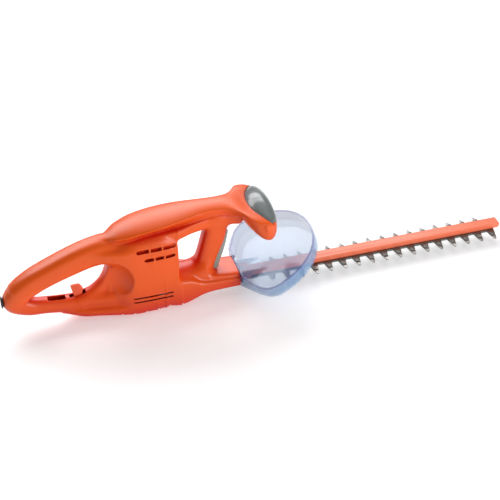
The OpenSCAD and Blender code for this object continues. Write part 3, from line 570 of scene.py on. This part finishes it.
# Each block: its range in x, y and z. The baffle stands behind the upper air slots.
BAFFLE = ((-676, -594), (29.5, 31), (88, 122))
BLADE_OPENING = ((-568, NOSE_X + 5), (-14.8, 14.8), (-60, 3))
CLAMP_OPENING = ((NOSE_X - 10, NOSE_X + 5), (-15.5, 15.5), (-1, 14.6))
TRIGGER_OPENING = ((TRIGGER[0] - 12, TRIGGER[0] + 16), (-5.2, 5.2), (18, 44))
TRIGGER_RECESS = ((TRIGGER[0] - 49, TRIGGER[0] - 19), (-6, 6), (18, 44))
# The finger lever's slot, along and across the lever, and wider below its pivot.
LEVER_OPENINGS = [((-17, 22), (-4.3, 4.3), (-103, 6)), ((-8, 22), (-7, 7), (-103, -6))]
LEVER_OPENING_FLOOR = 27.6


def belly_grooves(x, z):
    middle = np.abs((x - GROOVE_START_X) % GROOVE_STEP - GROOVE_STEP / 2)
    return np.maximum(np.maximum(middle - GROOVE_HALF, slab(x, *GROOVE_ZONE_X)), slab(z, *GROOVE_ZONE_Z))


def screw_boss(x, y, z, place, form):
    return np.maximum(np.maximum(cylinder_y(x, z, place, BOSS_R), form), -y - BOSS_REACH)


def screw_holes(x, y, z, place, well):
    """The screw's hole, and on the left the well of its head too."""
    if well:
        return np.minimum(np.maximum(cylinder_y(x, z, place, WELL_R), WELL_FLOOR_Y - y),
                          cylinder_y(x, z, place, SCREW_R))
    return np.maximum(cylinder_y(x, z, place, SCREW_R), y - SCREW_END_Y)


def lever_opening(x, y, z):
    dx, dz = x - LEVER[0], z - LEVER[1]
    along = dx * math.cos(LEVER_LEAN) - dz * math.sin(LEVER_LEAN)
    down = dx * math.sin(LEVER_LEAN) + dz * math.cos(LEVER_LEAN)
    slot = np.minimum(*[block(along, y, down, *ranges) for ranges in LEVER_OPENINGS])
    return np.maximum(slot, LEVER_OPENING_FLOOR - z)


def housing_shell(x, y, z, wells):
    """Plastic of one half, before it is cut at the seam. The left half has the wells of the screw heads."""
    form = housing_form(x, y, z)
    form = cut(form, np.maximum(belly_grooves(x, z), -GROOVE_DEPTH - form), 0.8)
    shell = np.maximum(form, -np.maximum(form + WALL, np.abs(y) - HOLLOW_HALF))
    for place in SCREW_PLACES:
        shell = np.minimum(shell, screw_boss(x, y, z, place, form))
    shell = cut(shell, np.maximum(side_slots(x, z), 20 - np.abs(y)), 0.9)
    shell = np.minimum(shell, np.maximum(block(x, y, z, *BAFFLE), form + 1))
    for place in SCREW_PLACES:
        shell = np.maximum(shell, -screw_holes(x, y, z, place, wells))
    shell = np.maximum(shell, -block(x, y, z, *BLADE_OPENING))
    shell = np.maximum(shell, -block(x, y, z, *CLAMP_OPENING))
    for drop in (0, 1.3, PALM_TRAVEL + 0.6):
        recess = np.maximum(cross_form(x, y, z + drop, PALM) - PALM_GAP, PALM_FLOOR - z)
        shell = cut(shell, recess, 0.5)
    shell = np.maximum(shell, -block(x, y, z, *TRIGGER_OPENING))
    shell = cut(shell, block(x, y, z, *TRIGGER_RECESS), 0.8)
    shell = cut(shell, lever_opening(x, y, z), 0.6)
    cord = np.maximum(np.hypot(y, z - CORD_Z) - CORD_HOLE_R, x - CORD_HOLE_END_X)
    return np.maximum(shell, -cord)


def make_housing(mats):
    for side, name in ((1, "housing_left"), (-1, "housing_right")):
        def field(x, y, z):
            return housing_shell(x, y, z, side > 0)
        low = (-898, -2.5 * HOUSING_STEP, -23)
        points, quads = solidify(field, low, (-424, 68, 170), HOUSING_STEP)
        half = mesh_object(name + "_shell", to_row(points), quads)
        bm = bmesh.new()
        bm.from_mesh(half.data)
        seam = to_row((0, SEAM, 0))[1]
        cutting = bmesh.ops.bisect_plane(bm, geom=bm.verts[:] + bm.edges[:] + bm.faces[:], dist=1e-6,
                                         plane_co=(0, seam, 0), plane_no=(0, 1, 0), clear_inner=True)
        rim = [e for e in cutting["geom_cut"] if isinstance(e, bmesh.types.BMEdge)]
        filled = bmesh.ops.triangle_fill(bm, edges=rim, use_beauty=True)["geom"]
        strips = [f for f in filled if isinstance(f, bmesh.types.BMFace)]
        middles = to_work([f.calc_center_median() for f in strips])
        hollow = field(*middles.T) > 0.15
        bmesh.ops.delete(bm, geom=[f for f, gone in zip(strips, hollow) if gone], context="FACES_ONLY")
        if side < 0:
            bmesh.ops.scale(bm, vec=(1, -1, 1), verts=bm.verts[:])
            bmesh.ops.reverse_faces(bm, faces=bm.faces[:])
        bmesh.ops.recalc_face_normals(bm, faces=bm.faces[:])
        bm.to_mesh(half.data)
        bm.free()
        half.data.shade_smooth()
        half.data.set_sharp_from_angle(angle=math.radians(38))
        half.data.materials.append(mats["housing"])
        finish_piece(half, "machine", "housing", name)


def finish_piece(obj, body, slot, *nodes):
    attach(obj, body)
    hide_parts(*nodes)


# ---- hand guard -------------------------------------------------------------------------------------
GUARD_STEP = 1.1
GUARD_SLOPE = math.radians(25.0)
GUARD_MID_X = -432.0
GUARD_FOOT_X = -468.0
GUARD_FRONT, GUARD_BACK, GUARD_HALF = 92.0, 42.0, 98.0
GUARD_RIM = 23.5
GUARD_T = 2.6
GUARD_FILLET = 5.0
TUNNEL_HALF, TUNNEL_TOP = 16.2, 15.6
COLLAR_TOP = 26.0
# The neck flares at 45 degrees from the nose's front face to the round part.
NECK_HALF, NECK_FLARE, NECK_END_X = 36.8, 0.707, -440
TUNNEL_END_X = -434
EDGE_BAND = 1.1


def guard_plane(x, z):
    """Distance along and above the guard's sloping floor."""
    c, s = math.cos(GUARD_SLOPE), math.sin(GUARD_SLOPE)
    mid_z = (GUARD_MID_X - GUARD_FOOT_X) * math.tan(GUARD_SLOPE)
    return (x - GUARD_MID_X) * c + (z - mid_z) * s, (z - mid_z) * c - (x - GUARD_MID_X) * s


def rounded_and(a, b, radius):
    """Intersection of two forms with its edge rounded."""
    a, b = a + radius, b + radius
    return np.minimum(np.maximum(a, b), 0) + np.hypot(np.maximum(a, 0), np.maximum(b, 0)) - radius


def guard_top(x, z):
    """Above 0 past the guard's rim or past the top of its collar."""
    return np.minimum(guard_plane(x, z)[1] - GUARD_RIM, z - COLLAR_TOP)


def guard_shell(x, y, z):
    along, above = guard_plane(x, z)
    length = np.where(along > 0, GUARD_FRONT, GUARD_BACK) / math.cos(GUARD_SLOPE)
    plan = super_distance([along, y], [length, GUARD_HALF], 2.1)
    neck = np.maximum((np.abs(y) - (NECK_HALF + (x - NOSE_X))) * NECK_FLARE, x - NECK_END_X)
    plan = join(plan, neck, 14)
    outer = rounded_and(plan, -np.minimum(above, z + 1), GUARD_FILLET)
    shell = np.abs(outer + GUARD_T / 2) - GUARD_T / 2
    top = guard_top(x, z)
    shell = np.maximum(shell, top)
    shell = join(shell, np.hypot(outer + GUARD_T / 2, top + 1.0) - 1.9, 1.5)
    # the collar against the nose, and the tunnel over the bar's clamp
    inside = np.maximum(outer, z - COLLAR_TOP)
    shell = np.minimum(shell, np.maximum(inside, x - NOSE_X - GUARD_T))
    tunnel = rounded_and(np.abs(y) - TUNNEL_HALF - GUARD_T, z - TUNNEL_TOP - GUARD_T, 3)
    shell = join(shell, np.maximum(np.maximum(tunnel, x - TUNNEL_END_X), np.maximum(outer, -1 - z)), 2)
    shell = np.maximum(shell, np.maximum(NOSE_X - x, -1.1 - z))
    return np.maximum(shell, -block(x, y, z, (-700, -430), (-TUNNEL_HALF, TUNNEL_HALF), (-60, TUNNEL_TOP)))


def make_guard(mats):
    points, quads = solidify(guard_shell, (-488, -101, -3), (-336, 101, 92), GUARD_STEP)
    guard = mesh_object("hand_guard_moulding", to_row(points), quads, sharp=50)
    guard.data.materials.append(mats["guard"])
    guard.data.materials.append(mats["guard_edge"])
    x, y, z = points[quads].mean(1).T
    edge = (guard_top(x, z) > -EDGE_BAND) | ((x < NOSE_X + 0.8) & (z > -0.5))
    guard.data.polygons.foreach_set("material_index", edge.astype(np.int32))
    finish_piece(guard, "machine", "guard", "hand_guard")


# ---- palm pad ---------------------------------------------------------------------------------------
PALM_STEP = 0.9
PALM_WALL = 2.6
# Lower edge of the pad in its middle, and how fast it drops towards the ends.
PALM_EDGE_Z, PALM_EDGE_DROP = 131.5, 0.004


def palm_shell(x, y, z):
    form = cross_form(x, y, z, PALM)
    shell = np.maximum(form, -(form + PALM_WALL))
    return np.maximum(shell, PALM_EDGE_Z - PALM_EDGE_DROP * y * y - z)


def make_palm(mats):
    points, quads = solidify(palm_shell, (-471, -65, 116), (-420, 65, 162), PALM_STEP)
    pad = mesh_object("palm_switch_pad", to_row(points), quads, sharp=45)
    pad.data.materials.append(mats["palm_pad"])
    finish_piece(pad, "palm", "palm_pad", "palm_switch")


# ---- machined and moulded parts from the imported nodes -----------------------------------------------
def bevelled(node, width_mm, body, slot, mats, segments=2, angle=28):
    """A copy of a node with its edges rounded."""
    source = frame["nodes"][node]
    mesh = source.data.copy()
    mesh.materials.clear()
    bm = bmesh.new()
    bm.from_mesh(mesh)
    bmesh.ops.remove_doubles(bm, verts=bm.verts[:], dist=2e-6)
    bmesh.ops.dissolve_limit(bm, angle_limit=math.radians(1.0), verts=bm.verts[:], edges=bm.edges[:])
    bm.to_mesh(mesh)
    bm.free()
    obj = bpy.data.objects.new(node + "_finished", mesh)
    bpy.context.scene.collection.objects.link(obj)
    bevel = obj.modifiers.new("edges", "BEVEL")
    bevel.width = width_mm / 1000
    bevel.segments = segments
    bevel.limit_method = "ANGLE"
    bevel.angle_limit = math.radians(angle)
    bevel.harden_normals = False
    apply_modifiers(obj)
    obj.data.shade_smooth()
    obj.data.set_sharp_from_angle(angle=math.radians(30))
    obj.data.materials.append(mats[slot])
    finish_piece(obj, body, slot, node)


def apply_modifiers(obj):
    bpy.context.view_layer.update()
    shown = obj.evaluated_get(bpy.context.evaluated_depsgraph_get())
    mesh = bpy.data.meshes.new_from_object(shown)
    obj.modifiers.clear()
    obj.data = mesh


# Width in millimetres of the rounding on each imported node's edges.
BEVELS = [("housing_screws", 0.4), ("guard_screws", 0.5), ("bar_clamp", 1.2), ("blade_bar", 0.9),
          ("comb_blade", 0.35), ("blade_spacers", 0.2), ("blade_bolts", 0.4), ("blade_keeper", 0.3),
          ("rear_trigger", 0.9), ("finger_lever", 0.9), ("cutter_blade", 0.5), ("cord_bushing", 0.7)]


def finish_nodes(mats):
    record = frame["record"]
    slots = {part["node"]: part["material_slot"] for part in record["subparts"]}
    bodies = {node: body for body, nodes in record["behaviour"]["bodies"].items() for node in nodes}
    for node, obj in frame["nodes"].items():
        obj.data.materials.clear()
        obj.data.materials.append(mats[slots[node]])
    for node, width in BEVELS:
        bevelled(node, width, bodies[node], slots[node], mats)


make_camera()
mats = make_materials()
make_studio()
finish_nodes(mats)
make_housing(mats)
make_guard(mats)
make_palm(mats)
